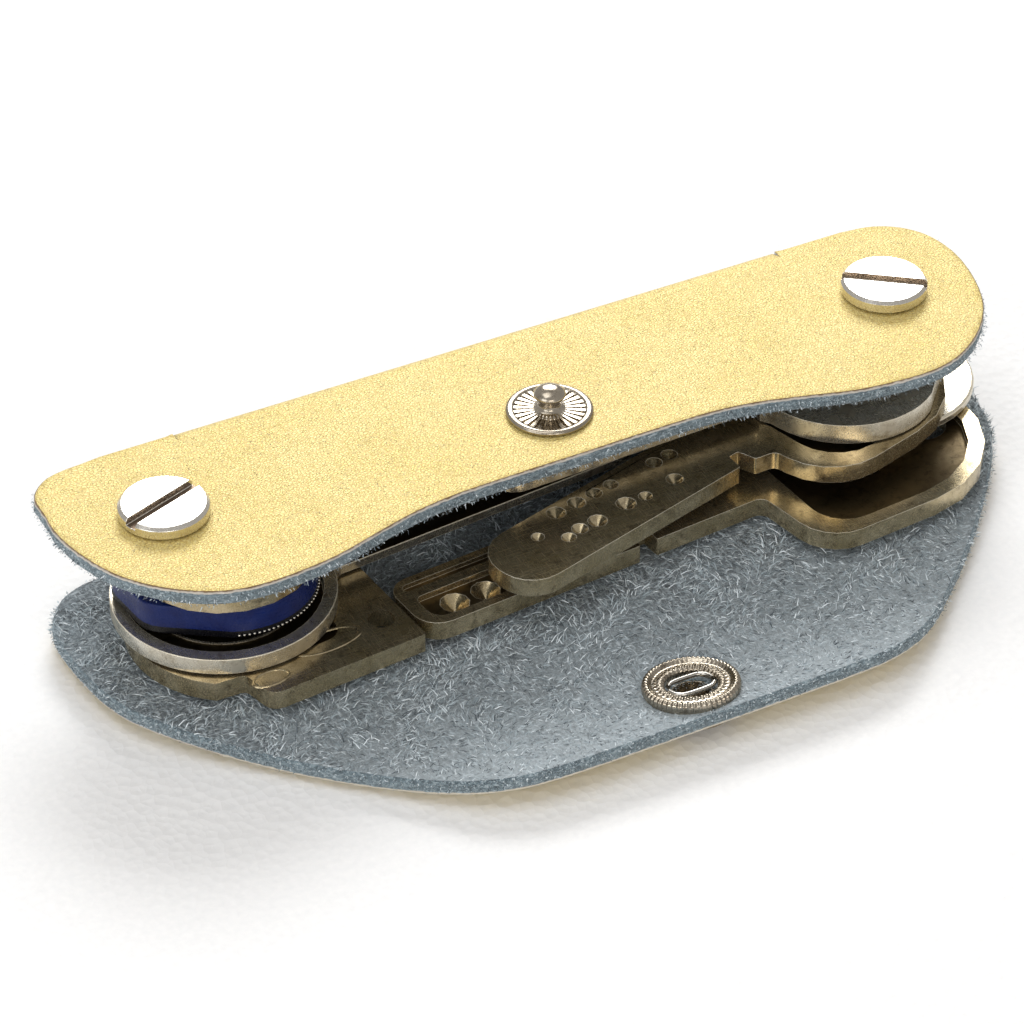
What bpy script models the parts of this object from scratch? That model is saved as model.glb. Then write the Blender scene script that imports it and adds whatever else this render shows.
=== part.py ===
"""Key organiser: a folded leather wrap with two screw posts, seven keys that
swing out of it, and a snap flap that closes over them.

Frame: +X runs along the two posts, +Y towards the folded spine, +Z up.
The origin is under the middle of the whole piece, on the surface it stands on.
Plan positions are given as (x, v): x from the middle, v from the line of the
two posts, towards the spine.
"""
import math

import bmesh
import bpy
from mathutils import Matrix, Vector

MM = 0.001

# Driving dimensions, in millimetres
POST_X = 43.1            # half the distance between the two posts
POST_Y = 12.7            # the line of the posts, from the middle in Y
BASE_Z = (1.5, 3.2)      # bottom panel: underside and inner side
ROOF_Z = (16.85, 18.55)  # top panel: inner side and gold side
BACK_V = 12.35           # free back corners of both panels
SPINE_OUT_V = 13.8       # outer side of the folded spine
SPINE_IN_V = 12.1
SPINE_HALF = 36.5        # the spine is notched at both ends for the bows
BEND_R = 2.6
HINGE_Z = 4.6            # centre of both folds of the flap
HINGE_1_V = -11.25
HINGE_2_V = -25.15
FLAP_Z = (0.75, 2.25)    # the flap's tip, lying open
FLAP_T = 1.5
SOCKET_V = -33.6
STUD_V = -2.8
HEAD_R = 4.75
HEAD_T = 1.45
SLOT_W = 1.3
SLOT_D = 0.75
SHANK_R = 1.5
BARREL_R = 2.45
BORE_R = 1.8
HOLE_R = 2.75            # post hole of every key and washer
GAP = 0.2

LEFT, RIGHT = -POST_X, POST_X

# Half outline of the top panel, from mid-front round the end to mid-back
ROOF_HALF = [
    (0.0, -10.9), (8.0, -10.85), (15.0, -10.95), (20.0, -11.6), (25.0, -12.9),
    (30.5, -14.5), (35.5, -15.2), (39.5, -15.3), (43.0, -14.6), (46.2, -12.9),
    (49.2, -10.3), (51.6, -7.0), (53.2, -3.0), (54.1, 1.2), (54.1, 4.8),
    (53.2, 7.9), (51.3, 10.3), (48.6, 11.8), (45.0, 12.35),
]
BASE_HALF = [
    (50.4, -11.3), (52.1, -8.4), (53.4, -4.6), (54.1, 0.0), (54.1, 4.8),
    (53.2, 7.9), (51.3, 10.3), (48.6, 11.8), (45.0, 12.35),
]
WALL_HALF = [(50.1, -11.6), (46.9, -15.2), (42.4, -20.2), (38.0, -25.0)]
TIP_HALF = [
    (37.8, -25.3), (33.2, -30.2), (29.6, -34.2), (26.6, -37.0), (23.2, -38.7),
    (19.0, -39.2),
]

for old in list(bpy.data.objects):
    bpy.data.objects.remove(old, do_unlink=True)

scene = bpy.context.scene
parts = bpy.data.collections.new("key_organiser")
cutters = bpy.data.collections.new("cutters")
scene.collection.children.link(parts)
scene.collection.children.link(cutters)


def material(name, colour, rough, metal):
    made = bpy.data.materials.new(name)
    made.use_nodes = True
    shader = made.node_tree.nodes["Principled BSDF"]
    shader.inputs["Base Color"].default_value = (*colour, 1.0)
    shader.inputs["Roughness"].default_value = rough
    shader.inputs["Metallic"].default_value = metal
    made.diffuse_color = (*colour, 1.0)
    return made


GOLD = material("gold_leather", (0.78, 0.58, 0.27), 0.45, 0.35)
SUEDE = material("suede_leather", (0.30, 0.37, 0.43), 0.95, 0.0)
NICKEL = material("nickel", (0.72, 0.70, 0.66), 0.22, 1.0)
KEY_METAL = material("nickel_silver", (0.47, 0.42, 0.29), 0.30, 1.0)
STEEL = material("spring_steel", (0.60, 0.60, 0.60), 0.25, 1.0)
NAVY = material("navy_plastic", (0.02, 0.05, 0.22), 0.30, 0.0)
BLACK = material("black_fibre", (0.03, 0.03, 0.03), 0.70, 0.0)


def circle(x, y, r, count=40):
    """Points of a circle, anticlockwise."""
    step = 2 * math.pi / count
    return [(x + r * math.cos(k * step), y + r * math.sin(k * step))
            for k in range(count)]


def rounded(corners, turn_step=0.36):
    """A closed outline through (x, y, radius) corners, with arcs at them."""
    out = []
    count = len(corners)
    for k, (x, y, r) in enumerate(corners):
        here = Vector((x, y))
        back = (Vector(corners[k - 1][:2]) - here).normalized()
        ahead = (Vector(corners[(k + 1) % count][:2]) - here).normalized()
        half = back.angle(ahead) / 2
        if r < 0.05 or half > math.pi / 2 - 0.02:
            out.append((x, y))
            continue
        reach = r / math.tan(half)
        centre = here + (back + ahead).normalized() * (r / math.sin(half))
        start = here + back * reach - centre
        end = here + ahead * reach - centre
        sweep = start.angle_signed(end)
        steps = max(2, math.ceil(abs(sweep) / turn_step))
        first = math.atan2(start.y, start.x)
        for i in range(steps + 1):
            a = first - sweep * i / steps
            out.append((centre.x + r * math.cos(a), centre.y + r * math.sin(a)))
    return out


def arc(x, y, r, start, end, count=24):
    """Square corners along an arc, from start to end in degrees."""
    turns = [math.radians(start + (end - start) * k / count) for k in range(count + 1)]
    return [(x + r * math.cos(a), y + r * math.sin(a), 0) for a in turns]


def smooth(points, steps=3):
    """An open curve through the points (Catmull-Rom)."""
    ends = [2 * Vector(points[0]) - Vector(points[1])]
    ends += [Vector(p) for p in points]
    ends += [2 * Vector(points[-1]) - Vector(points[-2])]
    out = []
    for k in range(1, len(ends) - 2):
        p0, p1, p2, p3 = ends[k - 1:k + 3]
        for i in range(steps):
            t = i / steps
            q = 0.5 * (2 * p1 + (p2 - p0) * t + (2 * p0 - 5 * p1 + 4 * p2 - p3) * t * t
                       + (3 * p1 - p0 - 3 * p2 + p3) * t ** 3)
            out.append((q.x, q.y))
    out.append(tuple(points[-1]))
    return out


def both_sides(half):
    """Closes a half outline by mirroring it across x = 0."""
    right = [p for p in half if p[0] > 0.01]
    middle = [p for p in half if p[0] <= 0.01]
    return middle[:1] + right + middle[1:] + [(-x, y) for x, y in reversed(right)]


def in_collection(name, mesh, where, place=(0, 0, 0), turn=0.0):
    made = bpy.data.objects.new(name, mesh)
    where.objects.link(made)
    made.location = Vector(place) * MM
    made.rotation_euler = (0.0, 0.0, turn)
    return made


def slab_mesh(name, loops, z0, z1):
    """A flat plate of any outline; further loops are holes."""
    curve = bpy.data.curves.new(name, "CURVE")
    curve.dimensions = "2D"
    curve.fill_mode = "BOTH"
    curve.extrude = (z1 - z0) / 2 * MM
    for loop in loops:
        spline = curve.splines.new("POLY")
        spline.points.add(len(loop) - 1)
        for point, (x, y) in zip(spline.points, loop):
            point.co = (x * MM, y * MM, 0.0, 1.0)
        spline.use_cyclic_u = True
    holder = bpy.data.objects.new(name, curve)
    scene.collection.objects.link(holder)
    bpy.context.view_layer.update()
    seen = holder.evaluated_get(bpy.context.evaluated_depsgraph_get())
    mesh = bpy.data.meshes.new_from_object(seen)
    bpy.data.objects.remove(holder)
    bpy.data.curves.remove(curve)
    mesh.name = name
    tidy = bmesh.new()
    tidy.from_mesh(mesh)
    bmesh.ops.remove_doubles(tidy, verts=tidy.verts, dist=1e-6)
    bmesh.ops.translate(tidy, verts=tidy.verts, vec=(0, 0, (z0 + z1) / 2 * MM))
    bmesh.ops.recalc_face_normals(tidy, faces=tidy.faces)
    tidy.to_mesh(mesh)
    tidy.free()
    return mesh


def spun(name, profile, count=40, gap_after=None):
    """A solid of revolution about Z from an (r, z) profile, top to bottom.

    A profile that meets the axis is left open there, after point gap_after.
    """
    mesh = bpy.data.meshes.new(name)
    shape = bmesh.new()
    ring = [shape.verts.new((r * MM, 0, z * MM)) for r, z in profile]
    edges = [shape.edges.new((ring[k], ring[(k + 1) % len(ring)]))
             for k in range(len(ring)) if k != gap_after]
    bmesh.ops.spin(shape, geom=list(ring) + edges, axis=(0, 0, 1), cent=(0, 0, 0),
                   angle=2 * math.pi, steps=count, use_duplicate=False)
    bmesh.ops.remove_doubles(shape, verts=shape.verts, dist=1e-6)
    bmesh.ops.recalc_face_normals(shape, faces=shape.faces)
    shape.to_mesh(mesh)
    shape.free()
    return mesh


def finish(made, look):
    made.data.materials.clear()
    made.data.materials.append(look)
    made.data.shade_smooth()
    made.data.set_sharp_from_angle(angle=math.radians(32))
    return made


def boolean(body, tool, operation="DIFFERENCE"):
    cut = body.modifiers.new(operation.lower() + "_" + tool.name, "BOOLEAN")
    cut.operation = operation
    cut.solver = "EXACT"
    cut.object = tool
    tool.hide_render = True
    tool.display_type = "WIRE"
    return cut


def cutter(name, loops, z0, z1, place=(0, 0, 0), turn=0.0):
    mesh = slab_mesh(name, loops, z0, z1)
    return in_collection(name, mesh, cutters, place, turn)


# ---------------------------------------------------------------- leather wrap
def panel(name, half, z0, z1, front):
    """One panel of the wrap, notched at the back where the spine bends away."""
    back = [(SPINE_HALF - 0.3, BACK_V), (SPINE_HALF - 0.3, 8.2)]
    outline = smooth(half) + back
    holes = [circle(LEFT, 0, HOLE_R, 24), circle(RIGHT, 0, HOLE_R, 24)]
    if front:
        outline = outline[1:]
        outline = [half[0]] + outline
        holes.append(circle(0, STUD_V, 1.5, 20))
    full = both_sides(outline)
    return slab_mesh(name, [full] + holes, z0, z1)


def spine_loop():
    """The C of the fold in section, as (v, z) points."""
    inner = BEND_R - (SPINE_OUT_V - SPINE_IN_V)
    return rounded([
        (7.6, BASE_Z[0], 0), (SPINE_OUT_V, BASE_Z[0], BEND_R),
        (SPINE_OUT_V, ROOF_Z[1], BEND_R), (7.6, ROOF_Z[1], 0),
        (7.6, ROOF_Z[0], 0), (SPINE_IN_V, ROOF_Z[0], inner),
        (SPINE_IN_V, BASE_Z[1], inner), (7.6, BASE_Z[1], 0),
    ], 0.25)


centre = (0, POST_Y, 0)
wrap = in_collection("leather_wrap", panel("leather_wrap", ROOF_HALF, *ROOF_Z, True),
                     parts, centre)
base = in_collection("wrap_base", panel("wrap_base", BASE_HALF, *BASE_Z, False),
                     cutters, centre)
fold = in_collection("wrap_fold", slab_mesh("wrap_fold", [spine_loop()], -SPINE_HALF,
                                            SPINE_HALF), cutters, centre)
fold.data.transform(Matrix(((0, 0, 1, 0), (1, 0, 0, 0), (0, 1, 0, 0), (0, 0, 0, 1))))
boolean(wrap, fold, "UNION")
boolean(wrap, base, "UNION")
finish(wrap, GOLD)

# ---------------------------------------------------------------- flap
drop = math.atan2((BASE_Z[0] + BASE_Z[1]) / 2 - (FLAP_Z[0] + FLAP_Z[1]) / 2, 13.4)
wall_mesh = slab_mesh("flap_wall", [both_sides(WALL_HALF)], -FLAP_T / 2, FLAP_T / 2)
wall_mid = (BASE_Z[0] + BASE_Z[1]) / 2
wall_mesh.transform(Matrix.Translation(Vector((0, -11.6, 0)) * MM)
                    @ Matrix.Rotation(drop, 4, "X")
                    @ Matrix.Translation(Vector((0, 11.6, 0)) * MM))
wall_mesh.transform(Matrix.Translation(Vector((0, -HINGE_1_V, wall_mid - HINGE_Z)) * MM))
wall = in_collection("flap_wall", wall_mesh, parts, (0, POST_Y + HINGE_1_V, HINGE_Z))
finish(wall, SUEDE)

tip_outline = [TIP_HALF[0]] + smooth(TIP_HALF)[1:]
tip_mesh = slab_mesh("flap_tip", [both_sides(tip_outline),
                                  circle(0, SOCKET_V, 2.5, 24)], *FLAP_Z)
tip_mesh.transform(Matrix.Translation(Vector((0, -HINGE_2_V, -HINGE_Z)) * MM))
tip = in_collection("flap_tip", tip_mesh, parts, (0, POST_Y + HINGE_2_V, HINGE_Z))
finish(tip, SUEDE)


# ---------------------------------------------------------------- posts
def screw(name, x, slot_turn):
    """Slotted screw: chamfered flat head and the shank inside the barrel."""
    top = ROOF_Z[1] + GAP + HEAD_T
    profile = [
        (0, top), (HEAD_R - 0.35, top), (HEAD_R, top - 0.35),
        (HEAD_R, top - HEAD_T + 0.15), (HEAD_R - 0.15, top - HEAD_T),
        (SHANK_R, top - HEAD_T), (SHANK_R, 8.0), (SHANK_R - 0.4, 7.6), (0, 7.6),
    ]
    made = in_collection(name, spun(name, profile, 36, len(profile) - 1), parts,
                         (x, POST_Y, 0))
    half = SLOT_W / 2
    bar = [(-6, -half), (6, -half), (6, half), (-6, half)]
    slot = cutter(name + "_slot", [bar], top - SLOT_D, top + 1, (x, POST_Y, 0),
                  math.radians(slot_turn))
    boolean(made, slot)
    return finish(made, NICKEL)


def barrel(name, x):
    """Female post: flat lower head, tube through the stack, blind bore."""
    top = ROOF_Z[1] - 0.05
    profile = [
        (BORE_R, top), (BARREL_R, top), (BARREL_R, 1.3), (HEAD_R, 1.3),
        (HEAD_R, 0.3), (HEAD_R - 0.3, 0), (0, 0), (0, 6.0), (BORE_R, 6.0),
    ]
    return finish(in_collection(name, spun(name, profile, 28, 6), parts,
                                (x, POST_Y, 0)), NICKEL)


screw("screw_left", LEFT, 19.6)
screw("screw_right", RIGHT, -37.7)
barrel("barrel_left", LEFT)
barrel("barrel_right", RIGHT)


def washer(name, x, r, z0, z1, look, inner=HOLE_R, count=36):
    """Washer with lightly broken outer edges."""
    edge = min(0.2, (z1 - z0) / 4)
    profile = [
        (inner, z1), (r - edge, z1), (r, z1 - edge), (r, z0 + edge), (r - edge, z0),
        (inner, z0),
    ]
    made = in_collection(name, spun(name, profile, count), parts, (x, POST_Y, 0))
    return finish(made, look)


washer("spacer_left_lower", LEFT, 6.6, 14.1, 15.25, NICKEL, count=24)
washer("spacer_left_upper", LEFT, 6.6, 15.45, 16.6, NICKEL, count=24)
washer("thin_washer_right", RIGHT, 10.6, 6.4, 7.5, NICKEL)
washer("fibre_washer_right", RIGHT, 8.6, 12.65, 14.4, BLACK)
washer("spacer_right_lower", RIGHT, 6.6, 14.65, 15.5, NICKEL, count=24)
washer("spacer_right_upper", RIGHT, 6.6, 15.7, 16.6, NICKEL, count=24)

# ---------------------------------------------------------------- snap fastener
flange = ROOF_Z[1] + GAP
stud_profile = [
    (0, flange + 3.05), (0.75, flange + 2.98), (1.35, flange + 2.70),
    (1.72, flange + 2.28), (1.62, flange + 1.95), (1.1, flange + 1.70),
    (1.0, flange + 1.2), (1.1, flange + 0.75), (1.55, flange + 0.42),
    (4.1, flange + 0.34), (4.35, flange + 0.42), (4.65, flange + 0.30),
    (4.65, flange), (0, flange),
]
finish(in_collection("snap_stud", spun("snap_stud", stud_profile, 28, 13), parts,
                     (0, POST_Y + STUD_V, 0)), NICKEL)
rivet_profile = [
    (0, 18.6), (1.2, 18.6), (1.2, 16.65), (3.4, 16.65), (3.7, 16.45), (3.3, 16.1),
    (0, 16.1),
]
finish(in_collection("snap_stud_rivet", spun("snap_stud_rivet", rivet_profile, 20, 6),
                     parts, (0, POST_Y + STUD_V, 0)), NICKEL)

floor = FLAP_Z[1] + 0.15
socket_profile = [
    (2.75, floor + 0.85), (3.05, floor + 1.12), (3.45, floor + 1.15),
    (3.75, floor + 0.90), (4.35, floor + 0.95), (4.60, floor + 1.30),
    (4.90, floor + 1.30), (5.15, floor + 1.05), (5.15, floor + 0.25),
    (4.95, floor), (2.75, floor),
]
flap_place = (0, POST_Y + HINGE_2_V, HINGE_Z)


def on_flap(name, mesh, look):
    """A fitting of the flap's tip, with its origin on the tip's fold."""
    mesh.transform(Matrix.Translation(Vector((0, SOCKET_V - HINGE_2_V, -HINGE_Z)) * MM))
    return finish(in_collection(name, mesh, parts, flap_place), look)


on_flap("snap_socket", spun("snap_socket", socket_profile, 32), NICKEL)
cap_profile = [
    (2.0, FLAP_Z[1] + 0.05), (2.3, FLAP_Z[1] + 0.05), (2.3, 0.60), (4.5, 0.60),
    (4.75, 0.45), (4.5, 0.20), (3.2, 0.05), (0, 0.05), (0, 0.35), (2.0, 0.35),
]


on_flap("snap_cap", spun("snap_cap", cap_profile, 28, 7), NICKEL)


def spring(name, side):
    """One wire of the socket's spring, across its mouth with hooked ends."""
    z = floor + 0.62
    line = [(-2.35 * side, -0.35 * side), (-1.9 * side, -1.15 * side),
            (-1.1 * side, -1.45 * side), (1.1 * side, -1.45 * side),
            (1.95 * side, -1.15 * side)]
    points = smooth(line, 3)
    curve = bpy.data.curves.new(name, "CURVE")
    curve.dimensions = "3D"
    curve.bevel_depth = 0.24 * MM
    curve.bevel_resolution = 2
    curve.use_fill_caps = True
    strand = curve.splines.new("POLY")
    strand.points.add(len(points) - 1)
    for point, (x, y) in zip(strand.points, points):
        point.co = (x * MM, y * MM, z * MM, 1.0)
    holder = bpy.data.objects.new(name, curve)
    scene.collection.objects.link(holder)
    bpy.context.view_layer.update()
    seen = holder.evaluated_get(bpy.context.evaluated_depsgraph_get())
    mesh = bpy.data.meshes.new_from_object(seen)
    bpy.data.objects.remove(holder)
    tidy = bmesh.new()
    tidy.from_mesh(mesh)
    bmesh.ops.remove_doubles(tidy, verts=tidy.verts, dist=1e-6)
    bmesh.ops.recalc_face_normals(tidy, faces=tidy.faces)
    tidy.to_mesh(mesh)
    tidy.free()
    return on_flap(name, mesh, STEEL)


spring("socket_spring_front", 1)
spring("socket_spring_back", -1)


# ---------------------------------------------------------------- keys
def key(name, x, angle, loops, z0, z1, look=KEY_METAL):
    """A key blank: local +X along its blade, origin on its post."""
    mesh = slab_mesh(name, loops, z0, z1)
    return finish(in_collection(name, mesh, parts, (x, POST_Y, 0), math.radians(angle)),
                  look)


def pocket(body, tag, loops, z0, z1):
    """Cuts a recess of the given outline into a key."""
    place = Vector(body.location) / MM
    tool = cutter(body.name + "_" + tag, loops, z0, z1, place, body.rotation_euler.z)
    boolean(body, tool)


def drill(body, tag, spots, top, depth_share=0.75, flat=0.12):
    """Cuts conical dimples (d, n, radius) into the key's upper face."""
    shape = bmesh.new()
    for d, n, r in spots:
        depth = r * depth_share
        bmesh.ops.create_cone(
            shape, cap_ends=True, segments=10, radius1=flat * MM,
            radius2=(r + 0.3) * MM, depth=(depth * (r + 0.3) / r) * MM,
            matrix=Matrix.Translation(Vector((
                d, n, top - depth + depth * (r + 0.3) / r / 2)) * MM))
    mesh = bpy.data.meshes.new(body.name + "_" + tag)
    shape.to_mesh(mesh)
    shape.free()
    tool = in_collection(body.name + "_" + tag, mesh, cutters,
                         Vector(body.location) / MM, body.rotation_euler.z)
    boolean(body, tool).use_self = True


def slot_loop(length, r=HOLE_R):
    """A post hole stretched across the bow, along local Y."""
    low, high = sorted((0.0, length))
    return rounded([(-r, low - r, r - 0.01), (r, low - r, r - 0.01),
                    (r, high + r, r - 0.01), (-r, high + r, r - 0.01)])


def thin_blade(body, start, z0, z1):
    """Takes a layer off a key from `start` along its blade."""
    pocket(body, "step", [[(start, -9), (70, -9), (70, 9), (start, 9)]], z0, z1)


# Keys on opposite posts share levels only where neither reaches the other:
# each blade has its own level, and a thicker bow stands round its own post.

# lower left: short plate key with a broad bow and a square collar
Z_LOW = (4.0, 6.2)
lower_left = key("key_lower_left", LEFT, 4.7, [rounded([
    (20.2, 8.3, 1.4), *arc(6.2, -4.0, 12.3, 90, 228), (1.2, -13.5, 0.8),
    (1.9, -17.8, 1.6), (20.2, -17.8, 0.3),
]), slot_loop(-7.5), circle(17.6, -13.1, 1.5, 16)], *Z_LOW)
pocket(lower_left, "recess", [rounded([
    (6.0, 6.9, 5.0), (-4.2, 3.0, 4.0), (-4.2, -11.0, 5.0), (5.0, -13.2, 4.0),
    (13.2, -13.2, 2.0), (13.2, 6.9, 2.0),
])], Z_LOW[1] - 0.6, Z_LOW[1] + 1)

# lower right: wide bow with a raised rim, grooved blade
lower_right = key("key_lower_right", RIGHT, 184.7, [rounded([
    (65.2, 1.6, 2.4), (65.2, 10.3, 3.0), (38.8, 10.3, 0.2), (38.8, 7.9, 0.2),
    (36.7, 7.9, 0.2), (36.7, 10.3, 0.2), (23.0, 10.3, 1.2), (21.8, 20.6, 5.0),
    (-5.9, 20.6, 13.4), (-5.9, -7.6, 13.4), (22.0, -7.6, 6.0), (23.0, 1.6, 1.5),
]), slot_loop(8.0)], *Z_LOW)
pocket(lower_right, "recess", [rounded([
    (19.8, 18.9, 4.2), (-4.1, 18.9, 11.8), (-4.1, -5.9, 11.8), (19.8, -5.9, 4.5),
])], Z_LOW[1] - 0.85, Z_LOW[1] + 1)
pocket(lower_right, "channel", [rounded([
    (44.0, 5.0, 0.4), (63.6, 5.0, 0.8), (63.6, 9.2, 1.8), (44.0, 9.2, 0.4),
])], Z_LOW[1] - 0.75, Z_LOW[1] + 1)
pocket(lower_right, "groove", [rounded([
    (27.0, 2.6, 0.5), (63.9, 2.6, 0.6), (63.9, 3.7, 0.5), (27.0, 3.7, 0.5),
])], Z_LOW[1] - 0.55, Z_LOW[1] + 1)
drill(lower_right, "pits", [
    (60.0, 7.1, 1.6), (56.2, 7.1, 1.6), (51.5, 7.1, 1.3), (47.5, 7.1, 1.5),
], Z_LOW[1] - 0.75)

# second left: round bow shaped like a dish
Z_DISH = (6.45, 8.3)
Z_DISH_BLADE = 7.5
dish_centre = (5.15, -2.31)
dish = key("key_dish_left", LEFT, 5.0, [rounded([
    (56.0, -4.9, 3.0), (56.0, 3.0, 3.0), (16.2, 3.0, 0.5),
    *arc(*dish_centre, 11.83, 35, 342, 52), (17.6, -4.9, 0.5),
]), circle(0, 0, HOLE_R, 24)], *Z_DISH)
pocket(dish, "recess", [circle(*dish_centre, 10.35, 48)], Z_DISH[1] - 1.15,
       Z_DISH[1] + 1)
thin_blade(dish, 17.3, Z_DISH_BLADE, Z_DISH[1] + 1)
drill(dish, "pits", [
    (24.0, -2.2, 1.3), (28.0, 0.7, 1.3), (32.0, -2.2, 1.1), (36.5, -0.9, 1.4),
    (41.0, 0.7, 1.1), (45.0, -2.2, 1.3), (49.5, -0.9, 1.2),
], Z_DISH_BLADE, depth_share=0.5)

# second right: rimmed bow, blade drilled with dimples
Z_DIMPLE = (7.75, 9.85)
dimple = key("key_dimple_right", RIGHT, 195.5, [rounded([
    (57.0, -5.4, 4.4), (57.0, 3.7, 4.0), (26.0, 3.7, 0.2), (25.5, 1.6, 0.2),
    (24.2, 1.6, 0.2), (23.7, 3.8, 0.3), (21.3, 4.4, 0.9), (20.5, 12.4, 7.0),
    (-4.7, 12.4, 12.2), (-4.7, -11.5, 11.6), (20.1, -11.5, 9.5), (22.1, -5.4, 1.5),
]), circle(0, 0, HOLE_R, 24)], *Z_DIMPLE)
pocket(dimple, "recess", [rounded([
    (18.3, 10.6, 5.5), (-3.0, 10.6, 10.4), (-3.0, -9.8, 9.9), (18.3, -9.8, 7.0),
])], Z_DIMPLE[1] - 0.6, Z_DIMPLE[1] + 1)
drill(dimple, "pits", [
    (45.9, -4.0, 1.05), (43.1, -3.8, 1.0), (40.6, -3.7, 0.9), (38.2, -3.6, 0.8),
    (47.9, 0.0, 0.8), (46.0, -0.3, 0.9), (43.7, 0.0, 1.05), (39.4, -0.1, 1.1),
    (37.0, 0.4, 0.75), (32.6, 0.4, 0.95), (32.1, -3.2, 0.9), (29.9, -3.1, 0.9),
    (50.2, -2.3, 0.7),
], Z_DIMPLE[1])

# third left: steel tang let into the top of a navy plastic head
Z_COVER = (8.55, 12.2)
Z_TANG = (10.05, 11.05)
cover = key("key_navy_left_head", LEFT, 6.0, [rounded([
    *arc(5.96, -2.64, 9.0, -120, 110, 36), (-5.4, 4.6, 3.5), (-5.4, -4.6, 3.5),
]), circle(0, 0, HOLE_R, 24)], *Z_COVER, look=NAVY)
pocket(cover, "tang_pocket", [[(8.0, -4.75), (17.0, -4.75), (17.0, 3.35), (8.0, 3.35)]],
       Z_TANG[0] - 0.1, Z_COVER[1] + 1)
navy_blade = key("key_navy_left_blade", LEFT, 6.0, [rounded([
    (52.0, -4.4, 2.6), (52.0, 3.0, 2.6), (8.4, 3.0, 0.6), (8.4, -4.4, 0.6),
])], *Z_TANG)
pocket(navy_blade, "groove", [rounded([
    (19.0, -1.7, 0.4), (49.0, -1.7, 0.5), (49.0, 0.3, 0.5), (19.0, 0.3, 0.4),
])], Z_TANG[1] - 0.4, Z_TANG[1] + 1)

# upper left: round bow under the top panel, blade along its upper side
Z_UPPER = (12.4, 13.9)
upper = key("key_upper_left", LEFT, 7.0, [rounded([
    (47.0, -3.0, 2.4), (47.0, 4.0, 2.4), (13.5, 4.0, 0.4), (12.5, 6.5, 1.5),
    (5.35, 7.3, 9.5), (-4.3, 7.3, 9.6), (-4.3, -12.0, 9.6), (15.0, -12.0, 9.6),
    (15.0, -3.0, 0.4),
]), circle(0, 0, HOLE_R, 24)], *Z_UPPER)
thin_blade(upper, 15.4, Z_UPPER[0] - 1, 12.65)
pocket(upper, "groove", [rounded([
    (17.0, -0.6, 0.5), (44.0, -0.6, 0.6), (44.0, 1.6, 0.6), (17.0, 1.6, 0.5),
])], Z_UPPER[1] - 0.5, Z_UPPER[1] + 1)

# third right: round bow, blade along its upper side
Z_THIN = (10.05, 12.4)
thin = key("key_thin_right", RIGHT, 182.0, [rounded([
    (50.0, -3.6, 2.8), (50.0, 3.6, 2.8), (18.4, 3.6, 0.4),
    *arc(7.15, 3.0, 10.5, 11, 125, 16), (-5.4, 5.0, 3.0), (-5.4, -5.0, 4.0),
    *arc(7.15, 3.0, 10.5, 245, 315, 12), (15.8, -3.6, 0.4),
]), circle(0, 0, HOLE_R, 24)], *Z_THIN)
thin_blade(thin, 18.2, Z_THIN[0] - 1, 11.3)
drill(thin, "pits", [
    (22.0, 1.2, 1.0), (26.0, -1.2, 1.1), (30.0, 1.2, 0.9), (34.0, -0.8, 1.1),
    (38.5, 1.2, 1.0), (43.0, -0.6, 0.9),
], Z_THIN[1], depth_share=0.5)
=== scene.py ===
"""Looks of the key organiser: leather, suede nap, turned fittings, worn keys.

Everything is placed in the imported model's frame, in metres. Plan positions are
(x, v) in millimetres: x from the middle, v from the line of the two posts.
"""
import math

import bmesh
import bpy
import numpy as np
from mathutils import Matrix, Vector, geometry


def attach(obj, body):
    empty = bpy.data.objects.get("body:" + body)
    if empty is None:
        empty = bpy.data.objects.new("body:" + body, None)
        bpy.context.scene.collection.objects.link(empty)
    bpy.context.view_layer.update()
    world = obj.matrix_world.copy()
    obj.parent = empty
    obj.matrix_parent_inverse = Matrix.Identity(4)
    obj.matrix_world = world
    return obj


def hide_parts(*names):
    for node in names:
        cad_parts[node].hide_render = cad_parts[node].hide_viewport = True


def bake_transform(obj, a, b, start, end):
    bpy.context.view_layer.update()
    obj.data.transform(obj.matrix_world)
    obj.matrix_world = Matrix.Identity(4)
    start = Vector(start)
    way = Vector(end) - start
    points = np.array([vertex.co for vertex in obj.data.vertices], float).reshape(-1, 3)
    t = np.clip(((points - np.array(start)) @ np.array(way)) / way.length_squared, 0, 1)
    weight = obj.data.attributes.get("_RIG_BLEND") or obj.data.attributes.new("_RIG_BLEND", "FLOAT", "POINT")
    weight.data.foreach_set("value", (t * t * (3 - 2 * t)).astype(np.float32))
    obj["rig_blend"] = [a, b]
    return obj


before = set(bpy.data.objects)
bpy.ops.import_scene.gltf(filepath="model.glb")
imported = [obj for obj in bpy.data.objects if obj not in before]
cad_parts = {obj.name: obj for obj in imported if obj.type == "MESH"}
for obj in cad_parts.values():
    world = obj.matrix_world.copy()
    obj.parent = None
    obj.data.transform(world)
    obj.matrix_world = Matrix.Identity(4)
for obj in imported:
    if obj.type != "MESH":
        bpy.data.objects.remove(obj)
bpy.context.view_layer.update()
scene = bpy.context.scene
MM = 0.001
POST_Y = 12.7
POST_X = 43.1


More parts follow.
